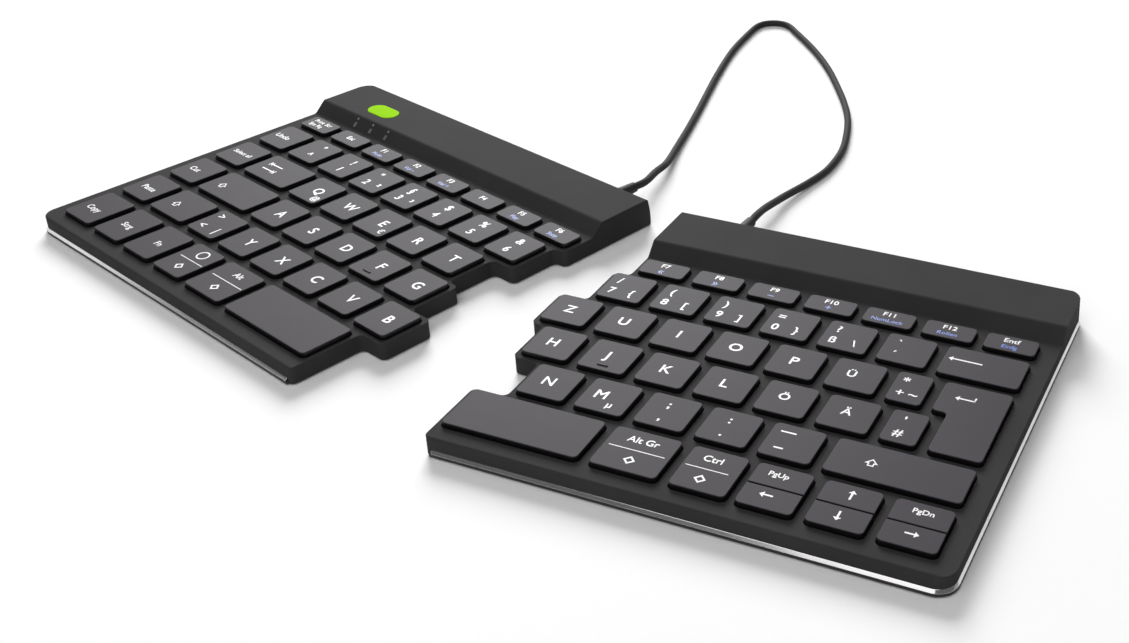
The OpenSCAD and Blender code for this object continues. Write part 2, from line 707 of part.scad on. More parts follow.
// Tapered sleeves that carry the cord out of each rear wall, with a flange just inside it
relief_end = rear_y + relief_l;
relief_lip = 0.7;
relief_lip_t = 1;
lip_r = min(relief_r + relief_lip, top_under - exit_z - fit);
lip_y = inner_face(exit_z + lip_r) - fit;
module strain_reliefs() {
    sleeve_r = relief_r - fit / 2;
    color("#2a2a2c") for (h = HALVES) on_half(h)
        translate([cord_x(h), 0, exit_z]) rotate([-90, 0, 0]) rotate_extrude($fn = 48)
            polygon([[0, lip_y - relief_lip_t], [lip_r, lip_y - relief_lip_t], [lip_r, lip_y],
                     [sleeve_r, lip_y], [sleeve_r, rear_y], [cord_r + relief_skin, relief_end],
                     [0, relief_end]]);
}

// Route of the cord: straight out of the left housing, down to the surface, round a long loop and back
function exit_at(h, out) = concat(in_row(h, [cord_x(h), relief_end + out]), exit_z);
route = concat(
    [exit_at(LEFT, 0), exit_at(LEFT, 6)],
    [[-15.6, 87.9, 5], [-17.2, 95.5, 4], [-19.7, 102.5, 3], [-24.9, 115, 1.8], [-31.3, 132, cord_r],
     [-37.8, 148.9, cord_r], [-44.9, 166.5, cord_r], [-52.3, 185.1, cord_r], [-59.6, 205.1, cord_r],
     [-64, 219.5, cord_r], [-67.5, 235.1, cord_r], [-68.42, 239.75, cord_r], [-69.12, 244.7, cord_r],
     [-68.33, 249.67, cord_r], [-64.9, 253.35, cord_r], [-60, 254.48, cord_r], [-55.31, 252.68, cord_r],
     [-51.37, 249.6, cord_r], [-47.5, 246.6, cord_r], [-35.7, 237.2, cord_r], [-24.4, 227.1, cord_r],
     [-13, 215.5, cord_r], [-1, 201.5, cord_r],
     [9, 189, cord_r], [17.7, 176.4, cord_r], [24.5, 163.5, cord_r], [30.2, 150.3, cord_r],
     [33.2, 139.4, cord_r], [34.8, 128, cord_r], [34.3, 115.2, 1.6], [33.5, 100.7, 2.6],
     [33.9, 92.9, 3.6], [34.4, 85.5, 4.6]],
    [exit_at(RIGHT, 6), exit_at(RIGHT, 0)]);
function curve(a, b, c, d, t) = (2 * b + (c - a) * t + (2 * a - 5 * b + 4 * c - d) * pow(t, 2)
    + (3 * b - a - 3 * c + d) * pow(t, 3)) / 2;
function lifted(p) = [p.x, p.y, max(p.z, cord_r)];
route_end = len(route) - 1;
function route_at(i) = i < 0 ? 2 * route[0] - route[1] :
    i > route_end ? 2 * route[route_end] - route[route_end - 1] : route[i];
cord_line = concat(
    [for (i = [0 : route_end - 1], k = [0 : cord_steps - 1])
        lifted(curve(route_at(i - 1), route_at(i), route_at(i + 1), route_at(i + 2), k / cord_steps))],
    [route[route_end]]);
function heading(i) = let (n = len(cord_line) - 1)
    i == 0 ? unit(route[1] - route[0]) :
    i == n ? unit(route[route_end] - route[route_end - 1]) :
    unit(cord_line[i + 1] - cord_line[i - 1]);
function ring(i) = let (ahead = heading(i), across = unit(cross(ahead, [0, 0, 1])), up = cross(across, ahead))
    [for (k = [0 : cord_sides - 1]) let (a = 360 * k / cord_sides)
        cord_line[i] + cord_r * (cos(a) * across + sin(a) * up)];

module link_cord() {
    rings = len(cord_line);
    points = [for (i = [0 : rings - 1]) each ring(i)];
    faces = concat(
        [for (i = [0 : rings - 2], k = [0 : cord_sides - 1]) let (n = (k + 1) % cord_sides)
            each [[i * cord_sides + k, (i + 1) * cord_sides + n, i * cord_sides + n],
                  [i * cord_sides + k, (i + 1) * cord_sides + k, (i + 1) * cord_sides + n]]],
        [for (k = [1 : cord_sides - 2]) [0, k, k + 1]],
        [for (k = [1 : cord_sides - 2]) let (e = (rings - 1) * cord_sides) [e, e + k + 1, e + k]]);
    color("#343436") polyhedron(points, faces, convexity = 10);
}

KEYS = [
    "key_q", "key_w", "key_e", "key_r", "key_t", "key_a", "key_s", "key_d", "key_f", "key_g",
    "key_y", "key_x", "key_c", "key_v", "key_b", "key_space_left",
    "key_z", "key_u", "key_i", "key_o", "key_p", "key_h", "key_j", "key_k", "key_l", "key_n", "key_m",
    "key_space_right", "key_backspace",
    "macro_keys", "modifier_keys_left", "number_keys_left", "function_keys_left",
    "modifier_keys_right", "number_keys_right", "function_keys_right", "punctuation_keys", "arrow_keys"];

top_case(LEFT);  // top_case_left
top_case(RIGHT);  // top_case_right
base_plate(LEFT);  // base_plate_left
base_plate(RIGHT);  // base_plate_right
base_trim(LEFT);  // base_trim_left
base_trim(RIGHT);  // base_trim_right
support_plates();
membranes();
dome_sheets();
scissor_links();
circuit_board(LEFT);  // circuit_board_left
circuit_board(RIGHT);  // circuit_board_right
battery();
charging_socket();
power_switch();
indicator_lens();
status_light_pipes();
strain_reliefs();
link_cord();
screws();
feet();
key_enter();
for (name = KEYS) keycaps(name);
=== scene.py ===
import json
import math

import bmesh
import bpy
from mathutils import Matrix, Vector

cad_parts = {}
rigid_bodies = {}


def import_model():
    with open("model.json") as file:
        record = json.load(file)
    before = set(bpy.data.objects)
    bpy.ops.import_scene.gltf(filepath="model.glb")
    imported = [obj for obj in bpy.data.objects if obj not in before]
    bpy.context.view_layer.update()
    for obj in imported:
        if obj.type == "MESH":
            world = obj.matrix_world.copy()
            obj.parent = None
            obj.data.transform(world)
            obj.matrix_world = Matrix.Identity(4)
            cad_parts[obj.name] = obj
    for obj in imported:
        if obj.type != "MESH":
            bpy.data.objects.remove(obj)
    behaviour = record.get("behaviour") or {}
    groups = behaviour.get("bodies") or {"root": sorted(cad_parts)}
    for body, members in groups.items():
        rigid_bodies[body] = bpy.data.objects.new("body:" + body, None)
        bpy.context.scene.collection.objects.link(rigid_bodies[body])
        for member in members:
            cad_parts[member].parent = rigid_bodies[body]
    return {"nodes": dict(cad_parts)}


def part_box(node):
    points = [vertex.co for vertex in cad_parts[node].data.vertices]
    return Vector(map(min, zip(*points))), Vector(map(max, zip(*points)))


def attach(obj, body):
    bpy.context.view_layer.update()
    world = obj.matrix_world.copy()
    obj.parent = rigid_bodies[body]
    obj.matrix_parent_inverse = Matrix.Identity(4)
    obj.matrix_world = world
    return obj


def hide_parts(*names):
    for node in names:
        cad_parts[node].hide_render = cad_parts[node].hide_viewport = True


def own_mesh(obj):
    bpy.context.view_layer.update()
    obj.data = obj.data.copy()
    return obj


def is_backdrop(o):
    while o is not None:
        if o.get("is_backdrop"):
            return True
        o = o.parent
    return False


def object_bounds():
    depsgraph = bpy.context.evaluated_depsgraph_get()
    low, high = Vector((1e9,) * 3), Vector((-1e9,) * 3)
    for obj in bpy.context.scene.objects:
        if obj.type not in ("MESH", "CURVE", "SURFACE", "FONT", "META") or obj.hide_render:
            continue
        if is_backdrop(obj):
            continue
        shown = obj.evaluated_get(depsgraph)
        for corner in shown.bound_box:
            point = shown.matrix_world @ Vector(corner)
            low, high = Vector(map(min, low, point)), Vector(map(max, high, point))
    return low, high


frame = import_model()
CAD_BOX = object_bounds()

bl_info = {
    "name": "Split keyboard",
    "version": (1, 0, 0),
    "blender": (4, 5, 0),
    "location": "View3D > Sidebar > Keyboard",
    "description": "Dresses the packed split keyboard: keycaps, legends, trim, cord and studio",
    "category": "Object",
}


def mm(*values):
    """Millimetres to metres: one number, or a vector of several."""
    return values[0] / 1000 if len(values) == 1 else Vector(values) / 1000


def linear(code):
    """An sRGB hex colour as linear red, green and blue."""
    parts = [int(code[i:i + 2], 16) / 255 for i in (1, 3, 5)]
    return tuple(c / 12.92 if c <= 0.04045 else ((c + 0.055) / 1.055) ** 2.4 for c in parts)


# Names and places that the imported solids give
BASE_BODY = "keyboard_base"
KEY_NODES = sorted(name for name in frame["nodes"] if name.startswith("key_") or "_keys" in name)
HALF_ANGLE = math.radians(8.85)  # how far each half is turned
CAP_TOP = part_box("key_q")[1].z
DECK_TOP = CAP_TOP - mm(1.6)  # the keycaps stand 1.6 mm proud of the deck
CASE_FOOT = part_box("top_case_left")[0].z
SHEET_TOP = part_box("membranes")[1].z + mm(0.3)  # the dome sheet on them is 0.3 mm thick
SLOPE_ANGLE = math.atan2(4.45, 4.7)  # rise and run of the housings' slope in mm

# Limits that tell corners, edges and faces apart
JOIN = mm(0.001)  # corners closer than this are one
FLAT = math.radians(0.3)  # faces that meet at less than this are one
SMOOTH = math.radians(35)  # edges that turn less than this are shaded smooth
CORNER = math.radians(40)  # outer edges that turn more than this are rounded
CASE_CORNER = math.radians(50)  # the same on the cases, whose slopes stay as they are
AT_TOP = mm(0.01)  # edges this close to a top are at it
AT_DECK = mm(0.05)  # edges this close to the deck or the foot of a case are at it
TOP_FACING = 0.25  # faces whose normal rises more than this take the satin top colour; the rest take the black side colour, which carries painted shade
ROW = mm(4)  # keycaps in one row differ less than this from front to back


class KeyboardSizes(bpy.types.PropertyGroup):
    """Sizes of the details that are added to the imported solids"""
    cap_edge: bpy.props.FloatProperty(
        name="Keycap edge", description="Width of the rounding round a keycap's top",
        default=mm(0.25), subtype="DISTANCE")
    case_edge: bpy.props.FloatProperty(
        name="Case edge", description="Width of the rounding along a case's outer edges",
        default=mm(0.5), subtype="DISTANCE")
    trim_edge: bpy.props.FloatProperty(
        name="Trim edge", description="Width of the rounding along the bright strip",
        default=mm(0.15), subtype="DISTANCE")
    ink: bpy.props.FloatProperty(
        name="Ink", description="Thickness of the printed legends",
        default=mm(0.03), subtype="DISTANCE")
    bar_length: bpy.props.FloatProperty(
        name="Homing bar", description="Length of the raised bars on two keys",
        default=mm(3.6), subtype="DISTANCE")
    cord_width: bpy.props.FloatProperty(
        name="Cord", description="Diameter of the cord between the halves",
        default=mm(2.8), subtype="DISTANCE")


def colour_property(label, about, code):
    """A colour that a user may change, from its hex value."""
    return bpy.props.FloatVectorProperty(
        name=label, description=about, default=linear(code), subtype="COLOR", size=3, min=0, max=1)


class KeyboardColours(bpy.types.PropertyGroup):
    """Colours of the visible finishes"""
    case: colour_property("Case", "Moulded case", "#3d3c3d")
    cap_top: colour_property("Keycap top", "Satin top of the keycaps", "#3a363c")
    # the side colour is black plastic darkened further as painted shade of the gaps between the
    # keycaps
    shaded_cap_side: colour_property("Keycap side", "Sides of the keycaps", "#0f0f10")
    ink: colour_property("Legends", "Printed legends", "#f2f2f2")
    second_ink: colour_property("Second legends", "Printed second legends", "#4f6ec8")
    base: colour_property("Base", "Base plate", "#1c1b1c")
    trim: colour_property("Trim", "Bright strip", "#dcdadb")
    lens: colour_property("Lens", "Indicator lens", "#98da00")
    cord: colour_property("Cord", "Jacket of the cord", "#363536")
    floor: colour_property("Floor", "Studio floor", "#fbfbfb")


def sizes():
    """The sizes that are set in the sidebar."""
    return bpy.context.scene.keyboard_sizes


def colours():
    """The colours that are set in the sidebar."""
    return bpy.context.scene.keyboard_colours


def add(tree, kind, inputs=None, **settings):
    """Adds a node, with its settings and its inputs: a value, or a socket to link."""
    node = tree.nodes.new(kind)
    for key, value in settings.items():
        setattr(node, key, value)
    for key, value in (inputs or {}).items():
        if isinstance(value, bpy.types.NodeSocket):
            tree.links.new(value, node.inputs[key])
        else:
            node.inputs[key].default_value = value
    return node


MOTTLE_WIDTH = 25  # mm across a patch of the faint mottle that every finish has
MOTTLE_ENDS = 0.35, 0.65  # where the mottle is darkest and lightest, in the noise's range
GRAIN_STRENGTH = 0.5  # how much of the grain's depth the bump shows


def finish(name, colour, surface, grain=0.5, depth=0.01, mottle=0.05, rough_spread=0.06):
    """A material: a colour with a slight mottle, and a grain whose width and depth are in mm."""
    if name in bpy.data.materials:
        return bpy.data.materials[name]
    material = bpy.data.materials.new(name)
    material.use_nodes = True
    tree = material.node_tree
    shader = tree.nodes["Principled BSDF"]
    place = add(tree, "ShaderNodeTexCoord").outputs["Object"]
    grains = add(tree, "ShaderNodeTexNoise", {
        "Vector": place, "Scale": 1 / mm(grain), "Detail": 2.0})
    clouds = add(tree, "ShaderNodeTexNoise", {
        "Vector": place, "Scale": 1 / mm(MOTTLE_WIDTH), "Detail": 3.0})
    shades = ([c * k for c in colour] + [1] for k in (1 - mottle, 1 + mottle))
    ramp = add(tree, "ShaderNodeValToRGB", {"Fac": clouds.outputs["Fac"]})
    for element, position, shade in zip(ramp.color_ramp.elements, MOTTLE_ENDS, shades):
        element.position, element.color = position, shade
    tree.links.new(ramp.outputs["Color"], shader.inputs["Base Color"])
    rough = surface.pop("Roughness")
    spread = add(tree, "ShaderNodeMapRange", {
        "Value": grains.outputs["Fac"],
        "To Min": rough - rough_spread, "To Max": rough + rough_spread})
    tree.links.new(spread.outputs["Result"], shader.inputs["Roughness"])
    bump = add(tree, "ShaderNodeBump", {
        "Height": grains.outputs["Fac"], "Strength": GRAIN_STRENGTH, "Distance": mm(depth)})
    tree.links.new(bump.outputs["Normal"], shader.inputs["Normal"])
    for key, value in surface.items():
        shader.inputs[key].default_value = value
    return material


def charcoal_abs():
    # ABS moulded against a spark-eroded tool: matt and dark, with an even grain
    # (drawn at 0.6 mm to show)
    return finish("charcoal_abs", colours().case, {
        "Roughness": 0.75, "IOR": 1.53, "Specular IOR Level": 0.04}, grain=0.6, depth=0.03)


def satin_keycap():
    # ABS with a satin soft coat: smooth, dark grey, with a broad soft sheen
    return finish("satin_keycap", colours().cap_top, {
        "Roughness": 0.6, "IOR": 1.5, "Specular IOR Level": 0.145}, grain=0.4, depth=0.008)


def black_and_shaded_keycap_side():
    # Uncoated black ABS side of a keycap, half gloss; its colour is darkened further as painted
    # shade of the gaps between the keycaps
    return finish("black_and_shaded_keycap_side", colours().shaded_cap_side, {
        "Roughness": 0.3, "IOR": 1.53}, depth=0.004)


def white_ink():
    # Pad-printed ink: thin, white and slightly rough
    return finish("white_ink", colours().ink, {
        "Roughness": 0.5, "IOR": 1.5}, grain=0.3, depth=0.002, mottle=0.02)


def grey_ink():
    # Pad-printed ink for the status signs: as thin as the white, and grey
    return finish("grey_ink", linear("#8d8c8f"), {
        "Roughness": 0.5, "IOR": 1.5}, grain=0.3, depth=0.002)


def blue_ink():
    # Pad-printed ink for the second functions: as thin as the white, and blue
    return finish("blue_ink", colours().second_ink, {
        "Roughness": 0.5, "IOR": 1.5}, grain=0.3, depth=0.002)


def black_abs():
    # ABS base plate: black, with a coarser moulded grain than the case
    return finish("black_abs", colours().base, {
        "Roughness": 0.5, "IOR": 1.53}, grain=0.8, depth=0.03)


def bright_chrome():
    # Chrome plate on a moulded strip: mirror-like, with faint long waves from the plastic under it
    return finish("bright_chrome", colours().trim, {
        "Roughness": 0.14, "Metallic": 1.0}, grain=6, depth=0.004, mottle=0.03, rough_spread=0.04)


def green_acrylic():
    # Acrylic light window, tinted through and lit faintly from behind
    glow = list(colours().lens) + [1]
    return finish("green_acrylic", colours().lens, {
        "Roughness": 0.7, "IOR": 1.49, "Specular IOR Level": 0.02,
        "Emission Color": glow, "Emission Strength": 0.04}, depth=0.004)


def smoked_polycarbonate():
    # Polycarbonate light pipe, smoked grey and polished
    return finish("smoked_polycarbonate", linear("#727174"), {
        "Roughness": 0.2, "IOR": 1.58}, depth=0.003)


def pvc_jacket():
    # Extruded PVC cord jacket: dark grey and matt, with a fine grain
    return finish("pvc_jacket", colours().cord, {
        "Roughness": 0.75, "IOR": 1.53, "Specular IOR Level": 0.15}, grain=0.8, depth=0.02)


def black_elastomer():
    # Moulded elastomer: black and dull
    return finish("black_elastomer", linear("#1b1b1c"), {
        "Roughness": 0.7, "IOR": 1.52}, grain=0.6, depth=0.03)


def rolled_steel():
    # Cold-rolled steel sheet: grey metal with a soft rolled grain
    return finish("rolled_steel", linear("#b9babd"), {
        "Roughness": 0.35, "Metallic": 1.0}, grain=0.3, depth=0.004)


def polyester_film():
    # Polyester membrane film: pale, smooth and glossy
    return finish("polyester_film", linear("#c9d6cf"), {
        "Roughness": 0.2, "IOR": 1.64}, grain=4, depth=0.01)


def silicone_sheet():
    # Cast silicone dome sheet: ivory, soft and dull
    return finish("silicone_sheet", linear("#e0ddd4"), {
        "Roughness": 0.6, "IOR": 1.41}, grain=0.5, depth=0.01)


def natural_acetal():
    # Injected acetal link: off-white and waxy
    return finish("natural_acetal", linear("#e6e6e1"), {
        "Roughness": 0.4, "IOR": 1.48}, depth=0.005)


def green_lacquer():
    # Glass-epoxy board under green solder lacquer: half gloss, and slightly uneven
    return finish("green_lacquer", linear("#1f6b43"), {
        "Roughness": 0.35, "IOR": 1.55}, grain=0.5, depth=0.01)


def battery_foil():
    # Aluminium pouch foil: soft grey metal with shallow dimples
    return finish("battery_foil", linear("#bfc2c8"), {
        "Roughness": 0.4, "Metallic": 1.0}, grain=3, depth=0.05)


def black_acetal():
    # Moulded acetal slider: black and half gloss
    return finish("black_acetal", linear("#18181a"), {
        "Roughness": 0.4, "IOR": 1.48}, depth=0.006)


def white_paper():
    # Paper sweep of a studio: dull, white and even
    return finish("white_paper", colours().floor, {
        "Roughness": 0.9}, grain=2, depth=0.001, mottle=0.0)


def paint(name, material):
    """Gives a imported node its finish."""
    mesh = frame["nodes"][name].data
    mesh.materials.clear()
    mesh.materials.append(material)


def joined_copy(name):
    """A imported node's mesh with its corners joined."""
    bm = bmesh.new()
    bm.from_mesh(frame["nodes"][name].data)
    bmesh.ops.remove_doubles(bm, verts=bm.verts, dist=JOIN)
    return bm


def merged_copy(name):
    """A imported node's mesh with its corners joined and its flat faces made whole."""
    bm = joined_copy(name)
    bmesh.ops.dissolve_limit(bm, angle_limit=FLAT, verts=bm.verts, edges=bm.edges)
    return bm


def new_piece(name, bm, body, slot, materials):
    """Makes the finished mesh an object that rides on a body."""
    mesh = bpy.data.meshes.new(name)
    for face in bm.faces:
        face.smooth = True
    bm.to_mesh(mesh)
    bm.free()
    mesh.set_sharp_from_angle(angle=SMOOTH)
    for material in materials:
        mesh.materials.append(material)
    piece = bpy.data.objects.new(name, mesh)
    bpy.context.scene.collection.objects.link(piece)
    shading = piece.modifiers.new("flat faces stay flat", "WEIGHTED_NORMAL")
    shading.keep_sharp = True
    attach(piece, body)
    return piece


def round_edges(bm, edges, width, segments):
    """Rounds edges by a width."""
    bmesh.ops.bevel(
        bm, geom=edges, offset=width, offset_type="OFFSET", segments=segments, profile=0.5,
        affect="EDGES", clamp_overlap=True, material=-1)


def corner_angle(edge):
    """How sharply two faces meet, positive on an outer corner."""
    return edge.calc_face_angle_signed(0) if len(edge.link_faces) == 2 else 0


def lowest(edge):
    """Height of an edge's lower end."""
    return min(v.co.z for v in edge.verts)


def yaw_at(x):
    """The turn of the half that a place belongs to."""
    return HALF_ANGLE if x > 0 else -HALF_ANGLE


def islands(bm):
    """The loose parts of a mesh, each as its list of vertices."""
    left = set(bm.verts)
    found = []
    while left:
        part, front = [], [left.pop()]
        while front:
            vert = front.pop()
            part.append(vert)
            for edge in vert.link_edges:
                other = edge.other_vert(vert)
                if other in left:
                    left.remove(other)
                    front.append(other)
        found.append(part)
    return found


def middle_of(verts):
    """The middle of the box round some vertices."""
    low = Vector(min(v.co[i] for v in verts) for i in range(3))
    high = Vector(max(v.co[i] for v in verts) for i in range(3))
    return (low + high) / 2


def solid_places(name):
    """Middles of a node's solids in reading order: back row first, then from the left."""
    bm = joined_copy(name)
    middles = [middle_of(part) for part in islands(bm)]
    bm.free()

    def order(at):
        flat = Matrix.Rotation(-yaw_at(at.x), 3, "Z") @ at
        return -round(flat.y / ROW), flat.x
    return sorted(middles, key=order)


# The camera, fitted to the keycaps' edges in the photograph
SENSOR, LENS = 36, 48.502  # width and focal length in mm
LENS_SHIFT = -0.18, -0.05  # the photograph is cropped off its middle
CLIP = 0.01, 50  # nearest and farthest that it sees, in metres
CAMERA_PLACE = mm(289.805, -327.2985, 257.341)
HEADING, DOWN, ROLL = (math.radians(angle) for angle in (31.6437, 29.6524, 0.1361))


class KEYBOARD_OT_camera(bpy.types.Operator):
    """Adds the camera at the photograph's viewing angle"""
    bl_idname = "keyboard.camera"
    bl_label = "Camera"

    def execute(self, context):
        data = bpy.data.cameras.new("camera")
        data.sensor_width, data.lens = SENSOR, LENS
        data.shift_x, data.shift_y = LENS_SHIFT
        data.clip_start, data.clip_end = CLIP
        camera = bpy.data.objects.new("camera", data)
        camera.matrix_world = (
            Matrix.Translation(CAMERA_PLACE) @ Matrix.Rotation(HEADING, 4, "Z")
            @ Matrix.Rotation(math.pi / 2 - DOWN, 4, "X") @ Matrix.Rotation(ROLL, 4, "Z"))
        context.scene.collection.objects.link(camera)
        context.scene.camera = camera
        return {"FINISHED"}


# Route of the cord in mm, as in the part's source: out of the left half, down to the surface,
# round the loop and up into the right half
CORD_ROUTE = [
    (-13.7046, 71.7645, 6.1), (-12.7815, 77.6931, 6.1), (-15.6, 87.9, 5), (-17.2, 95.5, 4),
    (-19.7, 102.5, 3), (-24.9, 115, 1.8), (-31.3, 132, 1.4), (-37.8, 148.9, 1.4),
    (-44.9, 166.5, 1.4), (-52.3, 185.1, 1.4), (-59.6, 205.1, 1.4), (-64, 219.5, 1.4),
    (-67.5, 235.1, 1.4), (-68.42, 239.75, 1.4), (-69.12, 244.7, 1.4), (-68.33, 249.67, 1.4),
    (-64.9, 253.35, 1.4), (-60, 254.48, 1.4), (-55.31, 252.68, 1.4), (-51.37, 249.6, 1.4),
    (-47.5, 246.6, 1.4), (-35.7, 237.2, 1.4), (-24.4, 227.1, 1.4), (-13, 215.5, 1.4),
    (-1, 201.5, 1.4), (9, 189, 1.4), (17.7, 176.4, 1.4), (24.5, 163.5, 1.4),
    (30.2, 150.3, 1.4), (33.2, 139.4, 1.4), (34.8, 128, 1.4), (34.3, 115.2, 1.6),
    (33.5, 100.7, 2.6), (33.9, 92.9, 3.6), (34.4, 85.5, 4.6), (36.15, 77.3239, 6.1),
    (37.0731, 71.3953, 6.1),
]
CORD_REST = 1.4  # height in mm of the cord's middle where it lies on the surface
CORD_STEPS = 4  # steps between two points of the route
CORD_ROUND = 4  # how finely the cord's section is rounded


def cord_line():
    """The route as a smooth line of points in metres, never under the surface."""
    route = [Vector(p) for p in CORD_ROUTE]
    ends = [2 * route[0] - route[1], *route, 2 * route[-1] - route[-2]]
    line = []
    for a, b, c, d in zip(ends, ends[1:], ends[2:], ends[3:]):
        for k in range(CORD_STEPS):
            t = k / CORD_STEPS
            at = (2 * b + (c - a) * t + (2 * a - 5 * b + 4 * c - d) * t ** 2
                  + (3 * b - a - 3 * c + d) * t ** 3) / 2
            line.append(mm(at.x, at.y, max(at.z, CORD_REST)))
    return line + [mm(*CORD_ROUTE[-1])]


class KEYBOARD_OT_cord(bpy.types.Operator):
    """Lays the cord between the two halves"""
    bl_idname = "keyboard.cord"
    bl_label = "Cord"

    def execute(self, context):
        line = cord_line()
        data = bpy.data.curves.new("cord", "CURVE")
        data.dimensions = "3D"
        data.bevel_depth = sizes().cord_width / 2
        data.bevel_resolution = CORD_ROUND
        data.use_fill_caps = True
        spline = data.splines.new("POLY")
        spline.points.add(len(line) - 1)
        for point, at in zip(spline.points, line):
            point.co = (*at, 1)
        spline.use_smooth = True
        data.materials.append(pvc_jacket())
        cord = bpy.data.objects.new("cord", data)
        context.scene.collection.objects.link(cord)
        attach(cord, BASE_BODY)
        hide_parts("link_cord")
        length = sum((b - a).length for a, b in zip(line, line[1:]))
        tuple(line[0])
        paint("strain_reliefs", black_elastomer())
        return {"FINISHED"}


class KEYBOARD_OT_cases(bpy.types.Operator):
    """Rounds the upper and lower edges of both cases and gives them their moulded finish"""
    bl_idname = "keyboard.cases"
    bl_label = "Cases"

    def execute(self, context):
        for side in ("left", "right"):
            node = f"top_case_{side}"
            bm = merged_copy(node)
            sharp = [e for e in bm.edges if corner_angle(e) > CASE_CORNER]
            rim = [e for e in sharp if lowest(e) > DECK_TOP - AT_DECK]
            foot = [e for e in sharp if max(v.co.z for v in e.verts) < CASE_FOOT + AT_DECK]
            round_edges(bm, rim + foot, sizes().case_edge, 3)
            case = new_piece(f"case_{side}", bm, BASE_BODY, "case", [charcoal_abs()])
            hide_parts(node)
        return {"FINISHED"}


class KEYBOARD_OT_bases(bpy.types.Operator):
    """Finishes the base plates, the bright strips, the screws and the feet"""
    bl_idname = "keyboard.bases"
    bl_label = "Bases"

    def execute(self, context):
        for side in ("left", "right"):
            paint(f"base_plate_{side}", black_abs())
            bm = merged_copy(f"base_trim_{side}")
            outer = [e for e in bm.edges if corner_angle(e) > CORNER]
            round_edges(bm, outer, sizes().trim_edge, 2)
            strip = new_piece(f"bright_strip_{side}", bm, BASE_BODY, "trim", [bright_chrome()])
            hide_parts(f"base_trim_{side}")
        paint("screws", rolled_steel())
        paint("feet", black_elastomer())
        return {"FINISHED"}


class KEYBOARD_OT_keycaps(bpy.types.Operator):
    """Rounds every keycap's top edge, with a satin top on black sides whose colour also carries
    painted shade
    """
    bl_idname = "keyboard.keycaps"
    bl_label = "Keycaps"

    def execute(self, context):
        for node in KEY_NODES:
            bm = merged_copy(node)
            rim = [e for e in bm.edges
                   if lowest(e) > CAP_TOP - AT_TOP and corner_angle(e) > CORNER]
            round_edges(bm, rim, sizes().cap_edge, 3)
            # up-facing faces get the satin top; the sides get the black colour that also stands
            # for painted shade in the gaps
            for face in bm.faces:
                face.material_index = 0 if face.normal.z > TOP_FACING else 1
            cap = new_piece(
                f"{node}_cap", bm, node, "keycap", [satin_keycap(), black_and_shaded_keycap_side()])
            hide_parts(node)
        return {"FINISHED"}


# Legends: the marks of each keycap as (mark, x, y, size), in mm from the keycap's middle, with
# a fifth word where the ink is blue
LETTER, UMLAUT, SIGN, SMALL = 5.6, 4.5, 4.8, 3.6
WORD, TINY, NAME, ARROW, SHIFT = 3.5, 2.8, 3.2, 3.9, 3.3
LEFT_LETTERS, RIGHT_LETTERS = "qwertasdfgyxcvb", "zuiophjklnm"


def shifted(upper, lower, third=None, x=-1, third_x=4.3):
    """A keycap with an upper and a lower sign, and sometimes a third at the lower right."""
    marks = [(upper, x, 3, SIGN), (lower, x, -3.3, SIGN)]
    return marks + ([(third, third_x, -3.1, SIGN)] if third else [])


def digit(upper, lower, third):
    """A keycap of the right half's number row."""
    return shifted(upper, lower, third, -3.9, 3)


def halved(upper, size, width, x):
    """A keycap with a mark over a dividing line, and a plain diamond under it."""
    return [(upper, x, 4.7, size), ("line", x, 0.3, width), ("diamond", x, -4.2, SMALL)]


def function_key(text, second, size=2.6):
    """A low keycap with its name in white over its second function in blue."""
    return [(text, -0.3, 1.6, NAME), (second, -0.3, -1.9, size, "blue")]


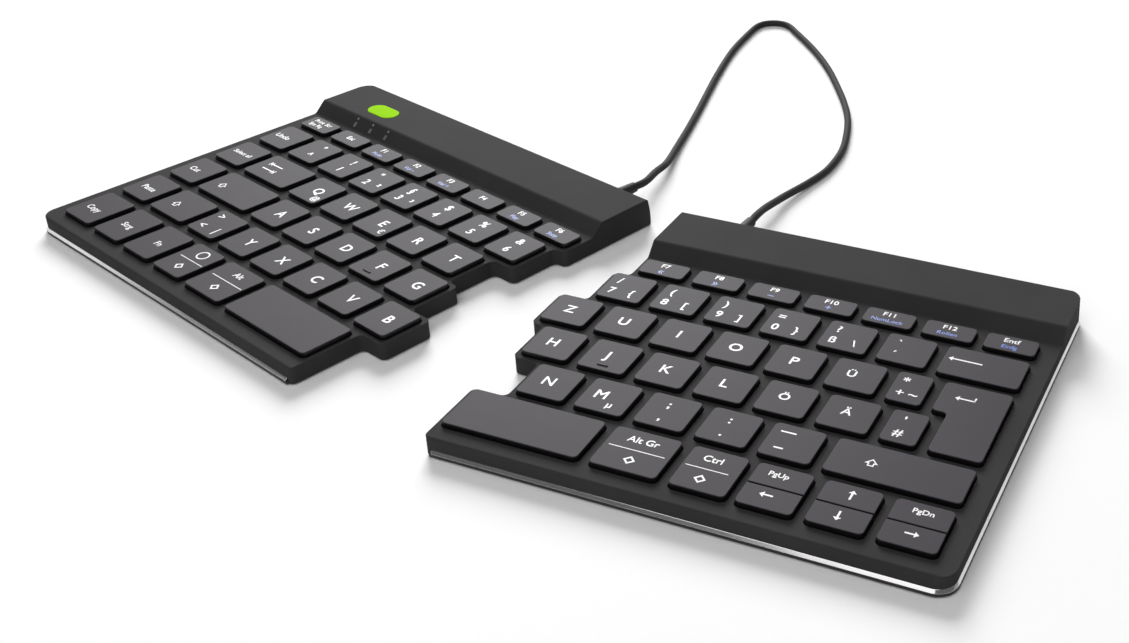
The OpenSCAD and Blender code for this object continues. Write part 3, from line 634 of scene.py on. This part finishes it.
LEGENDS = {f"key_{c}": [[(c.upper(), 1.2, -0.4, LETTER)]] for c in LEFT_LETTERS}
LEGENDS.update({f"key_{c}": [[(c.upper(), -0.7, 0, LETTER)]] for c in RIGHT_LETTERS})
LEGENDS["key_q"][0].append(("@", 5, -4.6, SMALL))
LEGENDS["key_e"][0].append(("€", 5, -4.6, SMALL))
LEGENDS["key_m"] = [[("M", -2.4, 0, LETTER), ("µ", 2.1, -3.8, 4)]]
LEGENDS.update({
    "key_space_left": [[]],
    "key_space_right": [[]],
    "key_enter": [[("left", -2.6, 9.7, 6), ("tick", 0.25, 10.5, 1.9)]],
    "key_backspace": [[("left", -5.8, 1, 10.4)]],
    "number_keys_left": [
        shifted("°", "^", x=0.8), shifted("!", "1", x=0.9), shifted('"', "2", "²", x=-1.8),
        shifted("§", "3", "³", x=-1.7), shifted("$", "4", x=-0.2), shifted("%", "5", x=-0.2),
        shifted("&", "6", x=-0.3)],
    "number_keys_right": [
        digit("/", "7", "{"), digit("(", "8", "["), digit(")", "9", "]"),
        digit("=", "0", "}"), digit("?", "ß", "\\"), shifted("`", "´", x=-3.3)],
    "punctuation_keys": [
        [("Ü", -1.5, 0.3, UMLAUT)], shifted("*", "+", "~", -2.1, 1.9),
        [("Ö", -1, 0.6, UMLAUT)], [("Ä", -0.9, 0.6, UMLAUT)], shifted("'", "#", x=-1),
        shifted(";", ",", x=-0.9), shifted(":", ".", x=-0.9),
        [("dash", -2.7, 4, 4.6), ("dash", -2.8, -3.6, 2.8)]],
    "macro_keys": [
        [("Undo", -1.6, -0.4, WORD)], [("Select all", 0, -0.2, 2.9)], [("Cut", -1.6, -0.3, WORD)],
        [("Paste", -0.2, -0.8, WORD)], [("Copy", -0.8, -1.6, WORD)]],
    "modifier_keys_left": [
        [("left", -4.3, 1.8, 7), ("tick", -8, 1.8, 2.2),
         ("right", -4.3, -2, 7), ("tick", -0.6, -2, 2.2)],
        [("up outline", -8.2, -1, SHIFT)], [("up outline", -3.1, -0.8, SHIFT)],
        [(">", -3.6, 4, SIGN), ("<", -3.6, -3.7, SIGN), ("|", 4.2, -3.2, SIGN)],
        [("Strg", 0.4, -0.6, WORD)], [("Fn", 1.2, -0.6, WORD)],
        halved("ring", 4.8, 12.6, 0.9), halved("Alt", WORD, 16.6, 0.9)],
    "modifier_keys_right": [
        [("up outline", -7.8, 0, SHIFT)], halved("Alt Gr", SMALL, 17, 0),
        halved("Ctrl", SMALL, 12.6, -0.9)],
    "arrow_keys": [
        [("PgUp", -1.2, 0.9, TINY)], [("up", 0, 0.5, ARROW)], [("PgDn", 0, 1, TINY)],
        [("left", -1, 1, ARROW)], [("down", -0.2, 0.4, ARROW)], [("right", 0, 0.8, ARROW)]],
    "function_keys_left": [
        [("Print", -2.6, 1.6, TINY), ("Scr", 3, 1.6, TINY), ("Sys Rq", -1.4, -1.3, TINY)],
        [("Esc", 0, 0.2, NAME)], function_key("F1", "Mute"), function_key("F2", "Vol –"),
        function_key("F3", "Vol +"), [("F4", -0.3, 0.4, NAME)], function_key("F5", "Play"),
        function_key("F6", "Stop")],
    "function_keys_right": [
        function_key("F7", "«", 4), function_key("F8", "»", 4), function_key("F9", "–", 4),
        function_key("F10", "+", 4), function_key("F11", "NumLock"),
        function_key("F12", "Rollen"), function_key("Entf", "Einfg")],
})

BOLDER = 0.022  # what is added to each side of a letter's stroke, in parts of its size
LETTER_STEPS = 3  # steps along a curve of a letter
LINE_W, DASH_W, TICK_W, RIM_W, OUTLINE_W = (mm(w) for w in (0.3, 0.6, 0.45, 0.55, 0.4))
ARROW_HEAD, ARROW_SHAFT = mm(2.3), mm(0.6)  # widths of an arrow
WIDE_HEAD, WIDE_SHAFT = 1.18, 0.58  # widths of an outlined arrow, in parts of its length
HEAD_LENGTH = 0.55  # in parts of the head's width
TURNS = {"up": 0, "left": 90, "down": 180, "right": 270}
INK_RISE = 0.3  # height of the ink's middle above the keycap, in parts of the ink's thickness


def text_faces(bm, text, size):
    """A word or sign as flat faces, with its middle at the origin and its strokes made bolder."""
    data = bpy.data.curves.new("legend", "FONT")
    data.body, data.size = text, size
    data.align_x, data.align_y = "CENTER", "CENTER"
    data.resolution_u = LETTER_STEPS
    item = bpy.data.objects.new("legend", data)
    bpy.context.scene.collection.objects.link(item)
    graph = bpy.context.evaluated_depsgraph_get()
    mesh = bpy.data.meshes.new_from_object(item.evaluated_get(graph))
    bm.from_mesh(mesh)
    bpy.data.batch_remove([item, mesh, data])
    bmesh.ops.remove_doubles(bm, verts=bm.verts, dist=size / 1000)
    moves = {}
    for edge in bm.edges:
        for loop in edge.link_loops if edge.is_boundary else ():
            ends = loop.vert, loop.link_loop_next.vert
            out = (ends[1].co - ends[0].co).normalized().cross(loop.face.normal)
            for vert in ends:
                moves[vert] = moves.get(vert, Vector()) + out
    for vert, out in moves.items():
        vert.co += out.normalized() * size * BOLDER


def hollow(bm, faces, width):
    """Leaves only a rim of some width round flat faces."""
    bmesh.ops.inset_region(
        bm, faces=faces, thickness=width, use_even_offset=True, use_boundary=True)
    bmesh.ops.delete(bm, geom=faces, context="FACES")


def arrow(bm, length, head, shaft, outline):
    """A flat arrow that points to +y: a whole one, or only its outline."""
    half, neck = length / 2, length / 2 - head * HEAD_LENGTH
    corners = [(-shaft / 2, -half), (shaft / 2, -half), (shaft / 2, neck), (head / 2, neck),
               (0, half), (-head / 2, neck), (-shaft / 2, neck)]
    face = bm.faces.new([bm.verts.new((x, y, 0)) for x, y in corners])
    if outline:
        bm.normal_update()
        hollow(bm, [face], outline)


def mark_mesh(mark, size, thick):
    """One mark of a legend: an arrow, line, dash, tick, ring or diamond, or else a text."""
    words = mark.split()
    bars = {"line": (size, LINE_W), "dash": (size, DASH_W), "tick": (TICK_W, size)}
    rims = {"ring": 32, "diamond": 4}
    bm = bmesh.new()
    if mark in bars:
        bmesh.ops.create_grid(bm, x_segments=1, y_segments=1, size=0.5)
        bmesh.ops.scale(bm, vec=(*bars[mark], 1), verts=bm.verts)
    elif mark in rims:
        bmesh.ops.create_circle(bm, segments=rims[mark], radius=size / 2, cap_ends=True)
        hollow(bm, bm.faces[:], RIM_W)
    elif mark in TURNS:
        arrow(bm, size, ARROW_HEAD, ARROW_SHAFT, 0)
    elif words[-1] == "outline":
        arrow(bm, size, size * WIDE_HEAD, size * WIDE_SHAFT, OUTLINE_W)
    else:
        text_faces(bm, mark, size)
    grown = bmesh.ops.extrude_face_region(bm, geom=bm.faces[:])["geom"]
    upper = [v for v in grown if isinstance(v, bmesh.types.BMVert)]
    bmesh.ops.translate(bm, vec=(0, 0, thick), verts=upper)
    bmesh.ops.translate(bm, vec=(0, 0, -thick / 2), verts=bm.verts)
    bmesh.ops.recalc_face_normals(bm, faces=bm.faces)
    turn = Matrix.Rotation(math.radians(TURNS.get(words[0], 0)), 3, "Z")
    bmesh.ops.rotate(bm, cent=(0, 0, 0), matrix=turn, verts=bm.verts)
    mesh = bpy.data.meshes.new("mark")
    bm.to_mesh(mesh)
    bm.free()
    return mesh


class KEYBOARD_OT_legends(bpy.types.Operator):
    """Prints the legends on the keycaps"""
    bl_idname = "keyboard.legends"
    bl_label = "Legends"

    def execute(self, context):
        thick = sizes().ink
        for node in KEY_NODES:
            places, legends = solid_places(node), LEGENDS[node]
            if len(places) != len(legends):
                raise RuntimeError(f"{node}: {len(places)} keycaps and {len(legends)} legends")
            bm = bmesh.new()
            for at, marks in zip(places, legends):
                on_cap = (Matrix.Translation((at.x, at.y, CAP_TOP + thick * INK_RISE))
                          @ Matrix.Rotation(yaw_at(at.x), 4, "Z"))
                for mark, x, y, size, *ink in marks:
                    mesh = mark_mesh(mark, mm(size), thick)
                    mesh.transform(on_cap @ Matrix.Translation(mm(x, y, 0)))
                    first = len(bm.faces)
                    bm.from_mesh(mesh)
                    bm.faces.ensure_lookup_table()
                    for face in bm.faces[first:]:
                        face.material_index = 1 if ink else 0
                    bpy.data.meshes.remove(mesh)
            if bm.faces:
                new_piece(f"{node}_legend", bm, node, "keycap", [white_ink(), blue_ink()])
            else:
                bm.free()
        return {"FINISHED"}


BAR_SECTION = mm(0.7), mm(0.6)  # width and height of a homing bar, half of it above the keycap
BAR_EDGE = mm(0.2)
BAR_PLACE = mm(0, -5.2, 0)  # from the keycap's middle


class KEYBOARD_OT_homing_bars(bpy.types.Operator):
    """Adds the raised bars that the forefingers find"""
    bl_idname = "keyboard.homing_bars"
    bl_label = "Homing bars"

    def execute(self, context):
        for node in ("key_f", "key_j"):
            at = solid_places(node)[0]
            turn = Matrix.Rotation(yaw_at(at.x), 3, "Z")
            bm = bmesh.new()
            bmesh.ops.create_cube(bm, size=1)
            bmesh.ops.scale(bm, vec=(sizes().bar_length, *BAR_SECTION), verts=bm.verts)
            round_edges(bm, bm.edges[:], BAR_EDGE, 3)
            bmesh.ops.translate(bm, vec=BAR_PLACE, verts=bm.verts)
            bmesh.ops.rotate(bm, cent=(0, 0, 0), matrix=turn, verts=bm.verts)
            bmesh.ops.translate(bm, vec=(at.x, at.y, CAP_TOP), verts=bm.verts)
            new_piece(f"{node}_homing_bar", bm, node, "keycap", [satin_keycap()])
        return {"FINISHED"}


LENS_EDGE = mm(0.15)
SIGN_OFFSET = mm(2.6), mm(1.21)  # a sign's place from a light pipe's middle: up the slope, and out
SIGN_RADIUS = mm(0.5)


class KEYBOARD_OT_lights(bpy.types.Operator):
    """Finishes the indicator lens and the status light pipes, and prints the pipes' signs"""
    bl_idname = "keyboard.lights"
    bl_label = "Indicator lights"

    def execute(self, context):
        bm = merged_copy("indicator_lens")
        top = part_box("indicator_lens")[1].z
        round_edges(bm, [e for e in bm.edges if lowest(e) > top - AT_TOP], LENS_EDGE, 2)
        lens = new_piece("indicator_window", bm, BASE_BODY, "lens", [green_acrylic()])
        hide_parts("indicator_lens")
        paint("status_light_pipes", smoked_polycarbonate())
        signs = bmesh.new()
        slope = Matrix.Rotation(-HALF_ANGLE, 4, "Z") @ Matrix.Rotation(SLOPE_ANGLE, 4, "X")
        for at in solid_places("status_light_pipes"):
            place = Matrix.Translation(at) @ slope @ Matrix.Translation((0, *SIGN_OFFSET))
            bmesh.ops.create_cone(
                signs, cap_ends=True, segments=16, radius1=SIGN_RADIUS, radius2=SIGN_RADIUS,
                depth=sizes().ink, matrix=place)
        new_piece("status_signs", signs, BASE_BODY, "case", [grey_ink()])
        return {"FINISHED"}


DOME_CUT = SHEET_TOP + mm(0.02)  # where the domes are parted from their sheet
CUT_SNAP = 1e-7


def cut_off(bm, height, above):
    """Keeps what is above or below a height, and closes the cut."""
    cut = bmesh.ops.bisect_plane(
        bm, geom=[*bm.verts, *bm.edges, *bm.faces], dist=CUT_SNAP, plane_co=(0, 0, height),
        plane_no=(0, 0, 1), clear_inner=above, clear_outer=not above)["geom_cut"]
    bmesh.ops.contextual_create(bm, geom=cut)
    bmesh.ops.holes_fill(bm, edges=bm.edges, sides=0)


def by_key(bm):
    """Shares the loose parts of a mesh among the keys over them: one mesh for each key node."""
    places = {node: solid_places(node) for node in KEY_NODES}
    owners = {}
    for part in islands(bm):
        at = middle_of(part)
        node = min(KEY_NODES, key=lambda name: min((at.xy - p.xy).length for p in places[name]))
        owners.setdefault(node, set()).update(part)
    for node, verts in sorted(owners.items()):
        own = bm.copy()
        keep = {v.index for v in verts}
        own.verts.ensure_lookup_table()
        others = [v for v in own.verts if v.index not in keep]
        bmesh.ops.delete(own, geom=others, context="VERTS")
        yield node, own


class KEYBOARD_OT_springs(bpy.types.Operator):
    """Parts the domes and the scissor links by key"""
    bl_idname = "keyboard.springs"
    bl_label = "Domes and links"

    def execute(self, context):
        flat = merged_copy("dome_sheets")
        cut_off(flat, DOME_CUT, above=False)
        sheet = new_piece("dome_sheet", flat, BASE_BODY, "dome_rubber", [silicone_sheet()])
        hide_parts("dome_sheets")
        domes = merged_copy("dome_sheets")
        cut_off(domes, DOME_CUT, above=True)
        links = merged_copy("scissor_links")
        for whole, source, slot, material in (
                (domes, "dome_sheets", "dome_rubber", silicone_sheet()),
                (links, "scissor_links", "link_plastic", natural_acetal())):
            whole.verts.index_update()
            for node, bm in by_key(whole):
                piece = new_piece(f"{node}_{source}", bm, BASE_BODY, slot, [material])
                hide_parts(source)
                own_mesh(piece)
            whole.free()
        return {"FINISHED"}


class KEYBOARD_OT_inside(bpy.types.Operator):
    """Finishes the other pieces inside the cases"""
    bl_idname = "keyboard.inside"
    bl_label = "Inside"

    def execute(self, context):
        for node, material in (
                ("support_plates", rolled_steel()), ("membranes", polyester_film()),
                ("circuit_board_left", green_lacquer()), ("circuit_board_right", green_lacquer()),
                ("battery", battery_foil()), ("charging_socket", rolled_steel()),
                ("power_switch", black_acetal())):
            paint(node, material)
        return {"FINISHED"}


# The stage, in metres
FLOOR_RADIUS, WALL_HEIGHT, SWEEP = 6, 1.2, 0.8
FLOOR_DROP = mm(0.05)  # the floor lies this far under the feet
FLOOR_LIFT = 0.06  # what is added to the floor where it is looked at, so that it is white
WORLD_LEVEL = 0.14  # strength of the white surround
WHITE = 1, 1, 1, 1
# Soft lamps: name, place and side of the box in metres, power in watts
LAMPS = (
    ("overhead_softbox", (0.1, -0.7, 1.5), 1.2, 8),
    ("rear_softbox", (-1.6, 2.0, 1.4), 1.4, 108),
    ("front_panel", (0.3, -1.6, 0.85), 0.9, 3.2),
    ("left_panel", (-1.82, -0.36, 0.4), 1.0, 2.2),
)


def looking(tree):
    """Is 1 for what the camera, metal and glass see, and 0 for light that falls on the object."""
    rays = add(tree, "ShaderNodeLightPath").outputs
    seen = add(tree, "ShaderNodeMath", {
        0: rays["Is Camera Ray"], 1: rays["Is Glossy Ray"]}, operation="MAXIMUM")
    return add(tree, "ShaderNodeMath", {
        0: seen.outputs["Value"], 1: rays["Is Transmission Ray"]},
        operation="MAXIMUM").outputs["Value"]


def lay_floor(scene):
    """A round paper floor that sweeps up into a low wall, lifted to white with its shadow kept."""
    bm = bmesh.new()
    bmesh.ops.create_circle(bm, segments=64, radius=FLOOR_RADIUS, cap_ends=True)
    rim = [e for e in bm.edges if e.is_boundary]
    wall = bmesh.ops.extrude_edge_only(bm, edges=rim)["geom"]
    upper = [v for v in wall if isinstance(v, bmesh.types.BMVert)]
    bmesh.ops.translate(bm, vec=(0, 0, WALL_HEIGHT), verts=upper)
    fold = [e for e in bm.edges if len(e.link_faces) == 2 and e.calc_face_angle() > CORNER]
    round_edges(bm, fold, SWEEP, 8)
    bmesh.ops.translate(bm, vec=(0, 0, -FLOOR_DROP), verts=bm.verts)
    for face in bm.faces:
        face.smooth = True
    mesh = bpy.data.meshes.new("floor")
    bm.to_mesh(mesh)
    bm.free()
    paper = white_paper()
    tree = paper.node_tree
    lift = add(tree, "ShaderNodeMath", {0: looking(tree), 1: FLOOR_LIFT}, operation="MULTIPLY")
    shader = tree.nodes["Principled BSDF"]
    shader.inputs["Emission Color"].default_value = WHITE
    tree.links.new(lift.outputs["Value"], shader.inputs["Emission Strength"])
    mesh.materials.append(paper)
    floor = bpy.data.objects.new("floor", mesh)
    scene.collection.objects.link(floor)
    floor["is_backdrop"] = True


def light(scene):
    """An even white surround, and the soft lamps, which look at the origin."""
    scene.world = bpy.data.worlds.new("studio")
    scene.world.use_nodes = True
    background = scene.world.node_tree.nodes["Background"]
    background.inputs["Color"].default_value = WHITE
    background.inputs["Strength"].default_value = WORLD_LEVEL
    for name, place, side, power in LAMPS:
        data = bpy.data.lights.new(name, "AREA")
        data.shape, data.size, data.energy = "SQUARE", side, power
        lamp = bpy.data.objects.new(name, data)
        lamp.location = place
        lamp.rotation_euler = (-Vector(place)).to_track_quat("-Z", "Y").to_euler()
        scene.collection.objects.link(lamp)


class KEYBOARD_OT_stage(bpy.types.Operator):
    """Builds the pale floor, the white surround and the soft lights"""
    bl_idname = "keyboard.stage"
    bl_label = "Stage"

    def execute(self, context):
        lay_floor(context.scene)
        light(context.scene)
        context.scene.view_settings.view_transform = "Standard"
        return {"FINISHED"}


OPERATORS = (
    KEYBOARD_OT_camera, KEYBOARD_OT_cord, KEYBOARD_OT_cases, KEYBOARD_OT_bases,
    KEYBOARD_OT_keycaps, KEYBOARD_OT_legends, KEYBOARD_OT_homing_bars, KEYBOARD_OT_lights,
    KEYBOARD_OT_springs, KEYBOARD_OT_inside, KEYBOARD_OT_stage)


class KEYBOARD_PT_panel(bpy.types.Panel):
    """Lists the steps that dress the keyboard"""
    bl_idname = "KEYBOARD_PT_panel"
    bl_label = "Split keyboard"
    bl_space_type = "VIEW_3D"
    bl_region_type = "UI"
    bl_category = "Keyboard"

    def draw(self, context):
        for group in (context.scene.keyboard_sizes, context.scene.keyboard_colours):
            for name in group.__annotations__:
                self.layout.prop(group, name)
        for step in OPERATORS:
            self.layout.operator(step.bl_idname)


CLASSES = (KeyboardSizes, KeyboardColours, *OPERATORS, KEYBOARD_PT_panel)


def register():
    for item in CLASSES:
        bpy.utils.register_class(item)
    bpy.types.Scene.keyboard_sizes = bpy.props.PointerProperty(type=KeyboardSizes)
    bpy.types.Scene.keyboard_colours = bpy.props.PointerProperty(type=KeyboardColours)


def unregister():
    del bpy.types.Scene.keyboard_colours
    del bpy.types.Scene.keyboard_sizes
    for item in reversed(CLASSES):
        bpy.utils.unregister_class(item)


def main():
    """Dresses the keyboard step by step."""
    register()
    for step in OPERATORS:
        group, name = step.bl_idname.split(".")
        getattr(getattr(bpy.ops, group), name)()
    boxes = {"cad": CAD_BOX, "visual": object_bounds()}
    {name: [list(corner) for corner in box] for name, box in boxes.items()}


if __name__ == "__main__":
    main()
